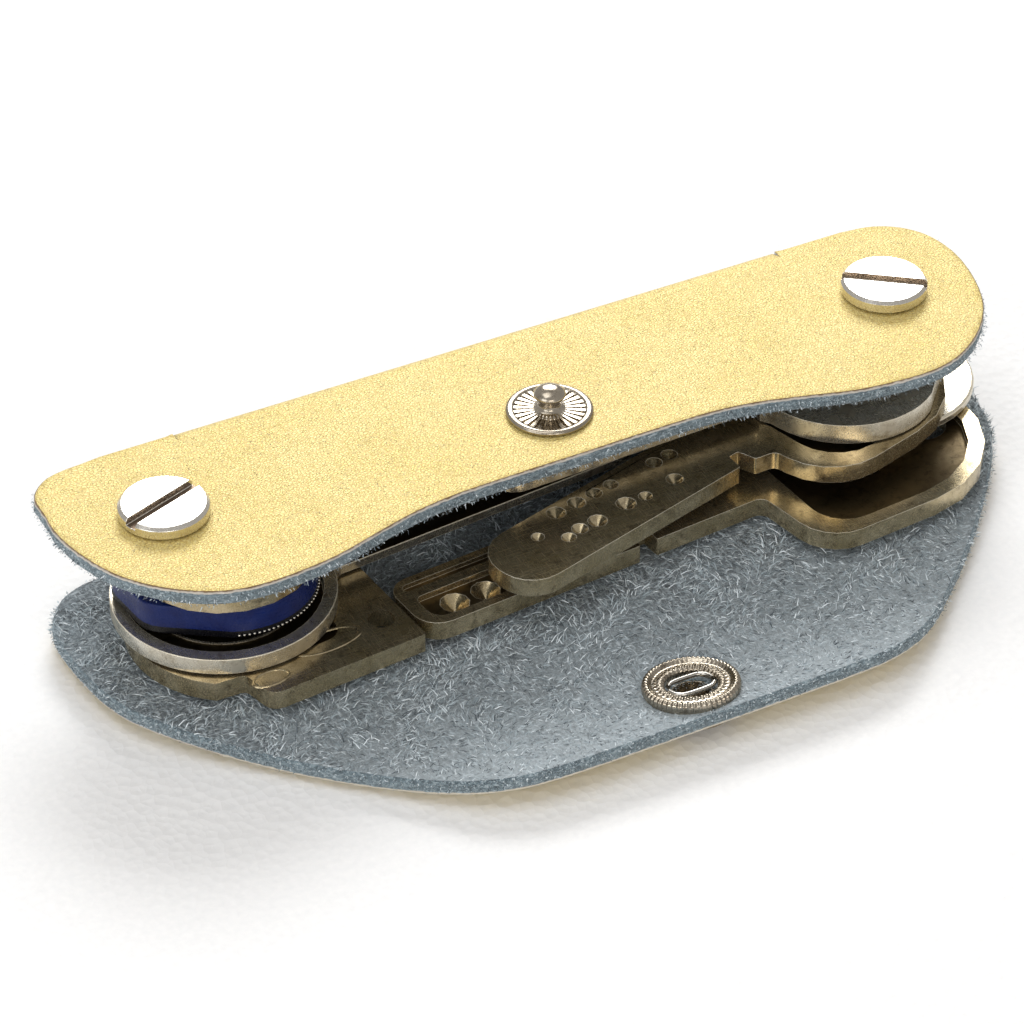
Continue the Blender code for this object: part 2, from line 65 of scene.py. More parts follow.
# ---------------------------------------------------------------- node helpers
class Look:
    """A material under construction, with short calls for its nodes."""

    def __init__(self, name, colour, rough, metal=0.0, **sockets):
        self.mat = bpy.data.materials.new(name)
        self.mat.use_nodes = True
        self.tree = self.mat.node_tree
        self.shader = self.tree.nodes["Principled BSDF"]
        self.shader.inputs["Base Color"].default_value = (*colour, 1)
        self.shader.inputs["Roughness"].default_value = rough
        self.shader.inputs["Metallic"].default_value = metal
        for key, value in sockets.items():
            self.shader.inputs[key.replace("_", " ")].default_value = value
        self.mat.diffuse_color = (*colour, 1)

    def node(self, kind, **settings):
        made = self.tree.nodes.new(kind)
        for key, value in settings.items():
            setattr(made, key, value)
        return made

    def link(self, out, to):
        self.tree.links.new(out, to)

    def where(self, attribute=None):
        """Object coordinates in millimetres, or a stored vector attribute."""
        if attribute:
            return self.node("ShaderNodeAttribute", attribute_name=attribute).outputs["Vector"]
        scale = self.node("ShaderNodeVectorMath", operation="SCALE")
        scale.inputs["Scale"].default_value = 1000.0
        self.link(self.node("ShaderNodeTexCoord").outputs["Object"], scale.inputs[0])
        return scale.outputs[0]

    def stretch(self, vector, scale, turn=0.0):
        made = self.node("ShaderNodeMapping")
        made.inputs["Scale"].default_value = scale
        made.inputs["Rotation"].default_value = (0, 0, turn)
        self.link(vector, made.inputs["Vector"])
        return made.outputs[0]

    def noise(self, vector, scale, detail=4, rough=0.55, twist=0.0):
        made = self.node("ShaderNodeTexNoise")
        made.inputs["Scale"].default_value = scale
        made.inputs["Detail"].default_value = detail
        made.inputs["Roughness"].default_value = rough
        made.inputs["Distortion"].default_value = twist
        self.link(vector, made.inputs["Vector"])
        return made.outputs["Fac"]

    def cells(self, vector, scale, feature="F1"):
        made = self.node("ShaderNodeTexVoronoi", feature=feature)
        made.inputs["Scale"].default_value = scale
        self.link(vector, made.inputs["Vector"])
        return made.outputs["Distance"]

    def ramp(self, value, *stops):
        """Maps a value through (position, colour or grey) stops."""
        made = self.node("ShaderNodeValToRGB")
        band = made.color_ramp
        while len(band.elements) < len(stops):
            band.elements.new(0.5)
        for element, (at, tone) in zip(band.elements, stops):
            element.position = at
            element.color = (*tone, 1) if isinstance(tone, tuple) else (tone, tone, tone, 1)
        self.link(value, made.inputs["Fac"])
        return made.outputs["Color"]

    def mix(self, share, a, b, how="MIX"):
        made = self.node("ShaderNodeMix", data_type="RGBA", blend_type=how)
        for value, socket in ((share, 0), (a, 6), (b, 7)):
            if isinstance(value, bpy.types.NodeSocket):
                self.link(value, made.inputs[socket])
            elif socket == 0:
                made.inputs[socket].default_value = value
            else:
                made.inputs[socket].default_value = (*value, 1)
        return made.outputs[2]

    def math(self, how, a, b=0.0):
        made = self.node("ShaderNodeMath", operation=how)
        for value, socket in ((a, 0), (b, 1)):
            if isinstance(value, bpy.types.NodeSocket):
                self.link(value, made.inputs[socket])
            else:
                made.inputs[socket].default_value = value
        return made.outputs[0]

    def colour(self, value):
        self.link(value, self.shader.inputs["Base Color"])

    def rough(self, value):
        self.link(value, self.shader.inputs["Roughness"])

    def bump(self, *layers):
        """Stacks (height, depth in millimetres) layers into the normal."""
        last = None
        for height, depth in layers:
            made = self.node("ShaderNodeBump")
            made.inputs["Strength"].default_value = 1.0
            made.inputs["Distance"].default_value = depth * MM
            self.link(height, made.inputs["Height"])
            if last:
                self.link(last, made.inputs["Normal"])
            last = made.outputs[0]
        self.link(last, self.shader.inputs["Normal"])


# ---------------------------------------------------------------- materials
def gold_leather():
    """Foil-coated grain: fine creases, dark pores and pale flecks painted on as highlights."""
    look = Look("gold_grain", (0.80, 0.60, 0.22), 0.45, 0.30, Coat_Weight=0.08,
                Coat_Roughness=0.4)
    at = look.where("flat")
    cloud = look.noise(at, 0.09, 3)
    fine = look.noise(at, 2.4, 4, 0.75)
    grain = look.cells(look.stretch(at, (1.0, 1.25, 1.0)), 2.9, "DISTANCE_TO_EDGE")
    pores = look.cells(at, 3.6)
    base = look.ramp(cloud, (0.35, (0.77, 0.61, 0.18)), (0.65, (0.83, 0.68, 0.25)))
    base = look.mix(look.ramp(grain, (0.0, 0.0), (0.16, 1.0)), (0.52, 0.34, 0.09), base)
    speck = look.math("MULTIPLY", look.ramp(pores, (0.14, 1.0), (0.30, 0.0)),
                      look.ramp(look.noise(at, 0.45, 4, 0.7), (0.42, 0.0), (0.56, 1.0)))
    base = look.mix(speck, base, (0.10, 0.055, 0.02))
    # Painted highlight: pale gold flecks where the fine noise runs high.
    look.colour(look.mix(look.ramp(fine, (0.42, 0.0), (0.70, 0.55)), base,
                         (0.95, 0.86, 0.46)))
    look.rough(look.ramp(fine, (0.35, 0.38), (0.7, 0.60)))
    look.bump((look.ramp(grain, (0.0, 0.0), (0.22, 1.0)), 0.030), (fine, 0.05),
              (look.noise(at, 0.35, 2), 0.10))
    return look.mat


def suede_tones(look, at, dark, middle, pale):
    """Tangled nap: streaks lying in two directions, over soft clouds."""
    streak_a = look.noise(look.stretch(at, (1.0, 0.30, 1.0), 0.5), 3.4, 5, 0.75, 0.6)
    streak_b = look.noise(look.stretch(at, (0.32, 1.0, 1.0), 0.9), 3.0, 5, 0.75, 0.6)
    fuzz = look.math("MAXIMUM", streak_a, streak_b)
    tone = look.ramp(fuzz, (0.49, dark), (0.57, middle), (0.65, pale))
    cloud = look.noise(at, 0.16, 3, 0.6)
    return fuzz, look.mix(look.ramp(cloud, (0.35, 0.0), (0.7, 0.55)), tone, middle)


def suede():
    """The flesh side: tangled nap, painted lighter towards the front of the flap as light falling there."""
    look = Look("suede_nap", (0.24, 0.29, 0.32), 0.95, Sheen_Weight=0.35,
                Sheen_Roughness=0.5, Specular_IOR_Level=0.2)
    at = look.where("flat")
    fuzz, tone = suede_tones(look, at, (0.06, 0.075, 0.085), (0.31, 0.37, 0.41),
                             (0.74, 0.82, 0.87))
    plan = look.node("ShaderNodeSeparateXYZ")
    look.link(at, plan.inputs[0])
    # Painted light: the nap turns paler towards the front of the flap.
    front = look.math("MULTIPLY", look.math("SUBTRACT", plan.outputs["Y"], 54.0), 0.042)
    look.colour(look.mix(look.ramp(front, (0.0, 0.0), (1.0, 0.62)), tone,
                         (0.66, 0.75, 0.80)))
    look.bump((fuzz, 0.45), (look.noise(at, 0.7, 3), 0.30))
    return look.mat


def suede_edge(name, finish, under):
    """The cut edge: a thin line of the finish, then blue-grey fibres; the flap's copy paints both paler as
    light on its edge.
    """
    look = Look(name, (0.22, 0.29, 0.33), 0.95, Sheen_Weight=0.25,
                Specular_IOR_Level=0.2)
    at = look.where()
    fuzz, tone = suede_tones(look, at, (0.10, 0.135, 0.155), (0.26, 0.34, 0.385),
                             (0.58, 0.66, 0.70))
    depth = look.node("ShaderNodeAttribute", attribute_name="depth").outputs["Fac"]
    wander = look.math("ADD", depth, look.math("MULTIPLY", look.noise(at, 1.6), 0.16))
    line = look.ramp(wander, (0.10, finish), (0.17, under))
    where = look.ramp(wander, (0.23, 1.0), (0.28, 0.0))
    look.colour(look.mix(where, tone, line))
    look.bump((fuzz, 0.30))
    return look.mat


def fibres():
    """Loose strands, each with its own shade."""
    look = Look("suede_fibre", (0.45, 0.52, 0.56), 0.9, Sheen_Weight=0.3,
                Specular_IOR_Level=0.25)
    shade = look.node("ShaderNodeAttribute", attribute_name="shade").outputs["Fac"]
    look.colour(look.ramp(shade, (0.0, (0.09, 0.11, 0.125)), (0.45, (0.42, 0.50, 0.545)),
                          (1.0, (0.88, 0.95, 0.99))))
    return look.mat


def metal(name, colour, tint, low, high, scratch=0.5, grime=None, bump=0.006, shine=1.0):
    """Plated or bare metal with rubbed patches, hairline scratches and grime."""
    look = Look(name, colour, (low + high) / 2, shine)
    at = look.where()
    patch = look.noise(at, 0.25, 4, 0.6)
    lines_a = look.noise(look.stretch(at, (0.10, 3.0, 1.0), 0.35), 4.0, 3, 0.6)
    lines_b = look.noise(look.stretch(at, (3.0, 0.12, 1.0), -0.2), 4.0, 3, 0.6)
    marks = look.math("MAXIMUM", lines_a, lines_b)
    tone = look.mix(look.ramp(patch, (0.35, 0.0), (0.7, 1.0)), colour, tint)
    if grime:
        spots = look.noise(at, 0.8, 6, 0.75)
        tone = look.mix(look.ramp(spots, (0.52, 0.0), (0.72, 0.85)), tone, grime)
    look.colour(tone)
    worn = look.mix(look.ramp(marks, (0.58, 0.0), (0.66, scratch)),
                    look.ramp(patch, (0.3, low), (0.75, high)), (0.55, 0.55, 0.55))
    look.rough(worn)
    look.bump((marks, bump), (look.noise(at, 1.0, 3), bump))
    return look.mat


def plastic(name, dark, light, band):
    """Glossy moulding, black below the height `band` in millimetres."""
    look = Look(name, dark, 0.3, Specular_IOR_Level=0.25)
    at = look.where()
    height = look.node("ShaderNodeSeparateXYZ")
    look.link(at, height.inputs[0])
    tone = look.ramp(look.noise(at, 0.5, 4), (0.3, dark), (0.75, light))
    lower = look.math("LESS_THAN", height.outputs["Z"], band)
    look.colour(look.mix(lower, tone, (0.004, 0.004, 0.006)))
    look.rough(look.ramp(look.noise(look.stretch(at, (0.15, 2.0, 1.0)), 3.0, 3),
                         (0.4, 0.26), (0.7, 0.42)))
    look.bump((look.noise(at, 3.0, 4), 0.003))
    return look.mat


def fibre_board():
    """Black pressed fibre with a faint weave."""
    look = Look("pressed_fibre", (0.03, 0.03, 0.028), 0.75)
    at = look.where()
    weave = look.noise(look.stretch(at, (0.4, 3.0, 1.0), 0.6), 3.0, 5, 0.7)
    look.colour(look.ramp(weave, (0.35, (0.012, 0.012, 0.012)), (0.7, (0.075, 0.075, 0.07))))
    look.bump((weave, 0.03))
    return look.mat


GOLD, SUEDE, FIBRE = gold_leather(), suede(), fibres()
EDGE = suede_edge("cut_edge", (0.22, 0.13, 0.06), (0.74, 0.68, 0.60))
# Painted light: the flap's edge line and fibres are painted pale, as the gold underside catches light from
# the table.
FLAP_EDGE_PAINTED_LIGHT = suede_edge("cut_edge_painted_light", (0.92, 0.88, 0.78), (0.80, 0.74, 0.62))
NICKEL = metal("polished_nickel", (0.80, 0.77, 0.71), (0.74, 0.70, 0.62), 0.14, 0.26,
               bump=0.002)
FITTING = metal("antique_nickel", (0.50, 0.45, 0.37), (0.36, 0.31, 0.24), 0.14, 0.28,
                grime=(0.08, 0.055, 0.03), bump=0.003)
KEY = metal("worn_nickel_silver", (0.62, 0.52, 0.34), (0.42, 0.34, 0.19), 0.16, 0.30,
            scratch=0.5, grime=(0.10, 0.07, 0.035), bump=0.004, shine=0.91)
BRIGHT_KEY = metal("bright_nickel_silver", (0.74, 0.70, 0.60), (0.62, 0.56, 0.44), 0.18,
                   0.34, scratch=0.5, grime=(0.26, 0.20, 0.12), bump=0.004, shine=0.88)
# Painted highlight: bevelled edges of the keys, worn metal painted much lighter along the rims.
WEAR_AND_EDGE_HIGHLIGHT = metal("worn_edge_and_painted_highlight", (0.92, 0.86, 0.72), (0.80, 0.72, 0.55), 0.22, 0.38, bump=0.002,
             shine=0.45)
# Painted shade: recess floors darkened where they sit under the rims and the leather, with some grime.
GRIME_AND_PAINTED_SHADE = metal("recess_grime_and_painted_shade", (0.20, 0.155, 0.085), (0.10, 0.07, 0.035), 0.28, 0.5,
              scratch=0.3, grime=(0.03, 0.02, 0.01), bump=0.02)
# Painted shade: the floors of the screw slots.
SLOT_PAINTED_SHADE = metal("slot_floor_painted_shade", (0.20, 0.15, 0.11), (0.10, 0.07, 0.05), 0.35, 0.55, bump=0.01)
STEEL = metal("drawn_wire", (0.60, 0.58, 0.54), (0.50, 0.47, 0.42), 0.12, 0.25)
NAVY = plastic("navy_gloss", (0.004, 0.010, 0.075), (0.007, 0.020, 0.12), 9.5)
BLACK = fibre_board()


# ---------------------------------------------------------------- mesh helpers
def placed(name, mesh, looks, body, cad=()):
    """Links a finished mesh, gives it its materials and its CAD body."""
    made = bpy.data.objects.new(name, mesh)
    scene.collection.objects.link(made)
    for look in looks:
        mesh.materials.append(look)
    if body:
        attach(made, body)
    if cad:
        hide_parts(*cad)
    return made


def refine(node, body, look, width=0.12, angle=30, worn=None, deep=None):
    """The CAD node's own shape with rounded, worn edges and a real finish; a `worn` look paints the bevels
    lighter, partly as a highlight.

    Flat floors well below the top of the piece take the `deep` look, which paints shade into them."""
    shape = bmesh.new()
    shape.from_mesh(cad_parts[node].data)
    bmesh.ops.remove_doubles(shape, verts=shape.verts, dist=3e-6)
    bmesh.ops.dissolve_limit(shape, angle_limit=math.radians(1.0), verts=shape.verts,
                             edges=shape.edges)
    plain = bpy.data.meshes.new(node + "_plain")
    shape.to_mesh(plain)
    shape.free()
    for spare in [a.name for a in plain.attributes if a.name == "custom_normal"]:
        plain.attributes.remove(plain.attributes[spare])
    plain.materials.clear()
    plain.shade_smooth()
    plain.set_sharp_from_angle(angle=math.radians(angle))
    holder = bpy.data.objects.new(node + "_plain", plain)
    scene.collection.objects.link(holder)
    soft = holder.modifiers.new("edges", "BEVEL")
    soft.width = width * MM
    soft.segments = 2
    soft.limit_method = "ANGLE"
    soft.angle_limit = math.radians(angle)
    soft.harden_normals = True
    looks = [look] + ([worn] if worn else [])
    soft.material = len(looks) - 1
    if deep:
        top = max(v.co.z for v in plain.vertices) - 0.25 * MM
        looks.append(deep)
        for face in plain.polygons:
            if face.normal.z > 0.9 and face.center.z < top:
                face.material_index = len(looks) - 1
    for each in looks:
        plain.materials.append(each)
    bpy.context.view_layer.update()
    seen = holder.evaluated_get(bpy.context.evaluated_depsgraph_get())
    mesh = bpy.data.meshes.new_from_object(seen)
    bpy.data.objects.remove(holder)
    return placed(node + "_fine", mesh, [], body, [node])


def from_arrays(name, points, faces):
    """A smooth-shaded mesh from points in metres."""
    mesh = bpy.data.meshes.new(name)
    mesh.from_pydata([tuple(p) for p in points], [], faces)
    mesh.shade_smooth()
    return mesh


def relief(name, rows, count, centre, shape, cap_top=True):
    """A round fitting: shape(row, angle) gives (r, z) in millimetres."""
    points, faces = [], []
    for k in range(rows):
        for i in range(count):
            a = 2 * math.pi * i / count
            r, z = shape(k, a)
            points.append(((centre[0] + r * math.cos(a)) * MM,
                           (POST_Y + centre[1] + r * math.sin(a)) * MM, z * MM))
    for k in range(rows - 1):
        for i in range(count):
            j = (i + 1) % count
            faces.append((k * count + i, (k + 1) * count + i, (k + 1) * count + j,
                          k * count + j))
    if cap_top:
        faces.append(tuple(range(count)))
        faces.append(tuple(reversed(range((rows - 1) * count, rows * count))))
    mesh = from_arrays(name, points, faces)
    mesh.set_sharp_from_angle(angle=math.radians(50))
    return mesh


# ---------------------------------------------------------------- leather
# The wrap is one cut piece, described flat: (x, q), where q runs back over the
# top panel, down the spine, forward under the keys and out along the flap.
ROOF_MID, BASE_MID, FLAP_MID = 17.70, 2.35, 1.55
BEND = 1.75                     # radius of the folds at mid thickness
BEND_V = 12.94 - BEND
SPINE_X = 36.5
ARC = BEND * math.pi / 2
RISE = ROOF_MID - BASE_MID - 2 * BEND
Q_ROOF_END = BEND_V
Q_BASE = BEND_V + 2 * ARC + RISE
THICK = 1.72
SEAM_V = -18.2

ROOF_EDGE = [
    (0.0, -10.9), (8.0, -10.85), (15.0, -10.95), (20.0, -11.6), (25.0, -12.9),
    (30.5, -14.5), (35.5, -15.2), (39.5, -15.3), (43.0, -14.6), (46.2, -12.9),
    (49.2, -10.3), (51.6, -7.0), (53.2, -3.0), (54.1, 1.2), (54.1, 4.8),
    (53.2, 7.9), (51.3, 10.3), (48.6, 11.8), (45.0, 12.35),
]
BASE_EDGE = [
    (45.0, 12.35), (48.6, 11.8), (51.3, 10.3), (53.2, 7.9), (54.1, 4.8), (54.1, 0.0),
    (53.6, -4.6), (52.6, -8.4), (51.0, -11.6), (48.4, -15.2), (45.8, -18.2),
]
FLAP_EDGE = [
    (45.8, -18.2), (44.0, -20.2), (39.4, -25.0), (33.8, -30.2), (29.3, -34.2),
    (25.4, -36.9), (21.0, -38.5), (15.5, -39.0), (8.0, -39.1), (0.0, -39.1),
]


def q_of(v):
    """Flat coordinate of a place on the base or the flap."""
    return Q_BASE + BEND_V - v


def ease(t):
    """A smooth step from 0 to 1."""
    t = np.clip(t, 0, 1)
    return t * t * (3 - 2 * t)


def curl(v):
    """How far the open flap turns up towards its front edge."""
    return 2.2 * np.clip((-28.0 - np.asarray(v, float)) / 11.2, 0, 1.05) ** 1.7


def fold(x, q):
    """Mid-surface point and normal (towards the gold side) for flat (x, q)."""
    x, q = np.asarray(x, float), np.asarray(q, float)
    corner = ease((-x - 47) / 4) * ease((q - 5) / 4) * (q < Q_ROOF_END + 4)
    inside = np.abs(x) <= SPINE_X + 0.07
    top = (q <= Q_ROOF_END) | (~inside & (q < (Q_ROOF_END + Q_BASE) / 2))
    bottom = (q >= Q_BASE) | (~inside & ~top)
    turn = np.clip((q - Q_ROOF_END) / BEND, 0, math.pi / 2)
    turn2 = np.clip((q - Q_ROOF_END - ARC - RISE) / BEND, 0, math.pi / 2)
    drop = np.clip(q - Q_ROOF_END - ARC, 0, RISE)
    angle = turn + turn2
    v = BEND_V + BEND * np.sin(turn) - BEND * (1 - np.cos(turn2))
    z = ROOF_MID - BEND * (1 - np.cos(turn)) - drop - BEND * np.sin(turn2)
    nv, nz = np.sin(angle), np.cos(angle)
    v = np.where(top, q, np.where(bottom, BEND_V - (q - Q_BASE), v))
    slope = ease((-10.0 - v) / 14.0)
    lift = curl(v) * (0.85 + 0.05 * np.clip(x / 28, -1, 1))
    low = BASE_MID + (FLAP_MID - BASE_MID) * slope + lift
    wave = 0.10 * np.sin(x * 0.11 + 0.6) * ease((6 - v) / 20)
    z = np.where(top, ROOF_MID + wave, np.where(bottom, low, z))
    nv = np.where(top | bottom, 0.0, nv)
    nz = np.where(top, 1.0, np.where(bottom, -1.0, nz))
    place = np.stack([x - 0.9 * corner, POST_Y + v + 0.5 * corner, z], -1)
    return place, np.stack([np.zeros_like(x), nv, nz], -1)


def spread(points, step):
    """Points every `step` along a Catmull-Rom curve through the given ones."""
    p = np.array(points, float)
    ends = np.vstack([2 * p[0] - p[1], p, 2 * p[-1] - p[-2]])
    fine = []
    for k in range(1, len(ends) - 2):
        a, b, c, d = ends[k - 1:k + 3]
        for t in np.linspace(0, 1, 24, endpoint=False):
            fine.append(0.5 * (2 * b + (c - a) * t + (2 * a - 5 * b + 4 * c - d) * t * t
                               + (3 * b - a - 3 * c + d) * t ** 3))
    fine = np.array(fine + [p[-1]])
    along = np.concatenate([[0], np.cumsum(np.linalg.norm(np.diff(fine, axis=0), axis=1))])
    at = np.linspace(0, along[-1], max(2, round(along[-1] / step)) + 1)
    return np.stack([np.interp(at, along, fine[:, i]) for i in (0, 1)], -1)


def straight(a, b, step=0.8):
    """Evenly spaced points from a to b."""
    count = max(1, round(math.dist(a, b) / step))
    return np.linspace(a, b, count + 1)


def closed(half):
    """Mirrors a half outline, and drops the points that repeat."""
    whole = np.vstack([half, (half * (-1, 1))[::-1]])
    keep = [k for k in range(len(whole)) if math.dist(whole[k], whole[k - 1]) > 0.05]
    return whole[keep]


STEP = 0.8
notch = SPINE_X + 0.10
roof_half = spread(ROOF_EDGE, STEP)
base_half = spread([(x, q_of(v)) for x, v in BASE_EDGE], STEP)
wrap_half = np.vstack([
    roof_half, straight((45.0, 12.35), (notch, 12.35)),
    straight((notch, 12.35), (notch, Q_ROOF_END + 0.1)),
    straight((SPINE_X, Q_ROOF_END + 0.1), (SPINE_X, Q_BASE - 0.1)),
    straight((notch, Q_BASE - 0.1), (notch, q_of(12.35))),
    straight((notch, q_of(12.35)), (45.0, q_of(12.35))),
    base_half, straight((45.8, q_of(SEAM_V)), (0.0, q_of(SEAM_V))),
])
flap_half = np.vstack([
    straight((0.0, q_of(SEAM_V)), (45.8, q_of(SEAM_V))),
    spread([(x, q_of(v)) for x, v in FLAP_EDGE], STEP),
])


def inner_points(outline, step, clear):
    """A staggered grid of points inside an outline, clear of its edge."""
    lo, hi = outline.min(0), outline.max(0)
    rows = np.arange(lo[1] + step / 2, hi[1], step * 0.87)
    grid = np.array([(x + (k % 2) * step / 2, y) for k, y in enumerate(rows)
                     for x in np.arange(lo[0], hi[0], step)])
    a, b = outline, np.roll(outline, -1, 0)
    inside = np.zeros(len(grid), bool)
    near = np.full(len(grid), 1e9)
    for (ax, ay), (bx, by) in zip(a, b):
        if ay != by:
            cross = (grid[:, 1] < ay) != (grid[:, 1] < by)
            at = ax + (grid[:, 1] - ay) / (by - ay) * (bx - ax)
            inside ^= cross & (grid[:, 0] < at)
        near = np.minimum(near, (grid[:, 0] - ax) ** 2 + (grid[:, 1] - ay) ** 2)
    return grid[inside & (near > clear ** 2)]


def leather(name, outline, seam_q, hole_spots, seed):
    """A thick sheet with a worked edge and suede nap, folded into place."""
    holes = [np.array([(x + r * math.cos(a), q + r * math.sin(a))
                       for a in np.linspace(0, 2 * math.pi, 36, endpoint=False)])
             for x, q, r in hole_spots]
    loops = [outline] + holes
    grid = inner_points(outline, STEP, STEP * 0.55)
    for x, q, r in hole_spots:
        grid = grid[np.hypot(grid[:, 0] - x, grid[:, 1] - q) > r + 0.4]
    flat = np.vstack(loops + [grid])
    edges, start, ring = [], 0, []
    for loop in loops:
        index = list(range(start, start + len(loop)))
        edges += list(zip(index, index[1:] + index[:1]))
        ring.append(index)
        start += len(loop)
    out = geometry.delaunay_2d_cdt([Vector(p) for p in flat], edges, [], 0, 1e-5)
    tri = np.array(out[2])
    middle = np.array([tuple(p) for p in out[0]])[tri].mean(1)
    keep = np.zeros(len(tri), bool)
    for k, loop in enumerate(loops):
        hit = np.zeros(len(tri), bool)
        for (ax, ay), (bx, by) in zip(loop, np.roll(loop, -1, 0)):
            if ay != by:
                cross = (middle[:, 1] < ay) != (middle[:, 1] < by)
                hit ^= cross & (middle[:, 0] < ax + (middle[:, 1] - ay) / (by - ay) * (bx - ax))
        keep = hit if k == 0 else keep & ~hit
    tri = tri[keep]
    flat = np.array([tuple(p) for p in out[0]])
    layers = [0.0, 0.07, 0.30, 0.62, 0.88, 1.0]
    inset = [0.16, 0.03, 0.0, 0.0, 0.06, 0.22]
    points, depth, plan, faces, looks = [], [], [], [], []

    def add(xy, layer):
        """Adds the folded points of one layer, and gives the first's index."""
        place, normal = fold(xy[:, 0], xy[:, 1])
        first = len(points)
        points.extend(place + normal * (THICK * (0.5 - layer)))
        depth.extend([layer] * len(xy))
        plan.extend(xy)
        return first

    inward = np.zeros_like(flat)
    for index, loop, turn in zip(ring, loops, [1] + [-1] * len(holes)):
        area = np.sum(loop[:, 0] * np.roll(loop[:, 1], -1)
                      - loop[:, 1] * np.roll(loop[:, 0], -1))
        way = np.roll(loop, -1, 0) - np.roll(loop, 1, 0)
        way /= np.linalg.norm(way, axis=1)[:, None] + 1e-12
        normal = np.stack([-way[:, 1], way[:, 0]], -1) * np.sign(area)
        inward[index] = normal * turn
    seam = np.abs(flat[:, 1] - seam_q) < 1e-3
    slit = (np.abs(np.abs(flat[:, 0]) - notch) < 0.3) & (flat[:, 1] > 9) \
        & (flat[:, 1] < Q_BASE + 2)
    inward[seam | slit] = 0
    source = np.random.default_rng(seed)
    ragged = source.normal(0, 0.05, (len(layers), len(flat)))
    first_gold = add(flat + inward * inset[0], layers[0])
    first_suede = add(flat + inward * inset[-1], layers[-1])
    for a, b, c in tri:
        faces.append((first_gold + a, first_gold + b, first_gold + c))
        looks.append(0)
        faces.append((first_suede + c, first_suede + b, first_suede + a))
        looks.append(1)
    for index in ring:
        index = np.array(index)
        at = [first_gold + index]
        for k in range(1, len(layers) - 1):
            rough = ragged[k][index] * (1.0 if k > 1 else 0.3)
            rough[seam[index]] = 0
            xy = flat[index] + inward[index] * (inset[k] + rough)[:, None]
            at.append(add(xy, layers[k]) + np.arange(len(index)))
        at.append(first_suede + index)
        for upper, lower in zip(at, at[1:]):
            for i in range(len(index)):
                j = (i + 1) % len(index)
                if seam[index[i]] and seam[index[j]]:
                    continue
                faces.append((int(upper[i]), int(lower[i]), int(lower[j]), int(upper[j])))
                looks.append(2)
    points, depth, plan = np.array(points), np.array(depth), np.array(plan)
    nap = strands(flat, ring, inward, seam, tri, source)
    base = len(points)
    points = np.vstack([points, nap["points"]])
    depth = np.concatenate([depth, np.ones(len(nap["points"]))])
    plan = np.vstack([plan, nap["plan"]])
    shade = np.concatenate([np.zeros(base), nap["shade"]])
    faces += [tuple(int(i) + base for i in f) for f in nap["faces"]]
    looks += [3] * len(nap["faces"])
    mesh = bpy.data.meshes.new(name)
    mesh.from_pydata([tuple(p) for p in points * MM], [], faces)
    mesh.polygons.foreach_set("material_index", looks)
    mesh.shade_smooth()
    for label, kind, values in (("depth", "FLOAT", depth), ("shade", "FLOAT", shade)):
        mesh.attributes.new(label, kind, "POINT").data.foreach_set("value", values)
    stored = mesh.attributes.new("flat", "FLOAT_VECTOR", "POINT")
    stored.data.foreach_set("vector", np.column_stack([plan, depth * 2]).ravel())
    shape = bmesh.new()
    shape.from_mesh(mesh)
    body = [f for f in shape.faces if f.material_index < 3]
    bmesh.ops.recalc_face_normals(shape, faces=body)
    shape.to_mesh(mesh)
    shape.free()
    return mesh


